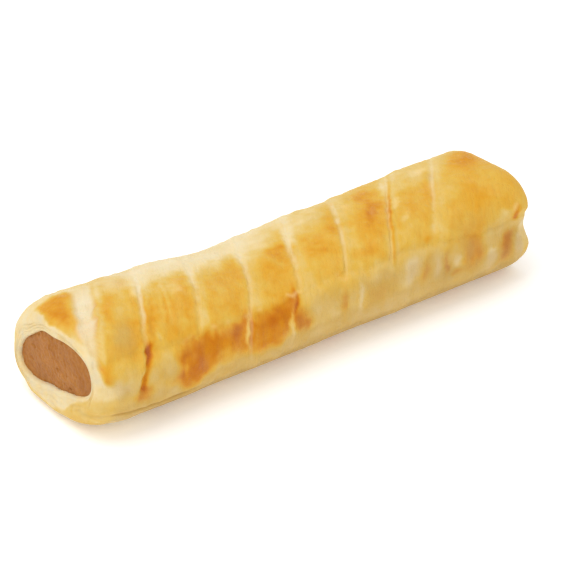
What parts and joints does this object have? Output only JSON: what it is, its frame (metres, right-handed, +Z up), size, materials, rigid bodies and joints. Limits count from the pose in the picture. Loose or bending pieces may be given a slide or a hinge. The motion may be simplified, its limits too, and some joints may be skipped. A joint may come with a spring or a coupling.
{
  "type": "sausage roll",
  "caption": "Long sausage roll, cut and baked: flaky glazed pastry with slanting cuts across its domed top, round a bar of sausage meat that shows at both cut ends.",
  "frame": {"origin": "middle of the flat base that the roll rests on", "axes": "X runs along the roll, from the end cut nearer the viewer (-X) to the other end (+X); -Y is the front, with the sealed edge of the pastry; +Z is up"},
  "size_m": [0.1774, 0.0539, 0.0364],
  "materials": {
    "pastry": "baked puff pastry, egg-glazed golden on top and pale along the cuts and the foot",
    "filling": "cooked sausage meat, fine-grained and slightly moist"
  },
  "bodies": {
    "root": {"pastry": "pastry", "filling": "filling"}
  },
  "joints": []
}
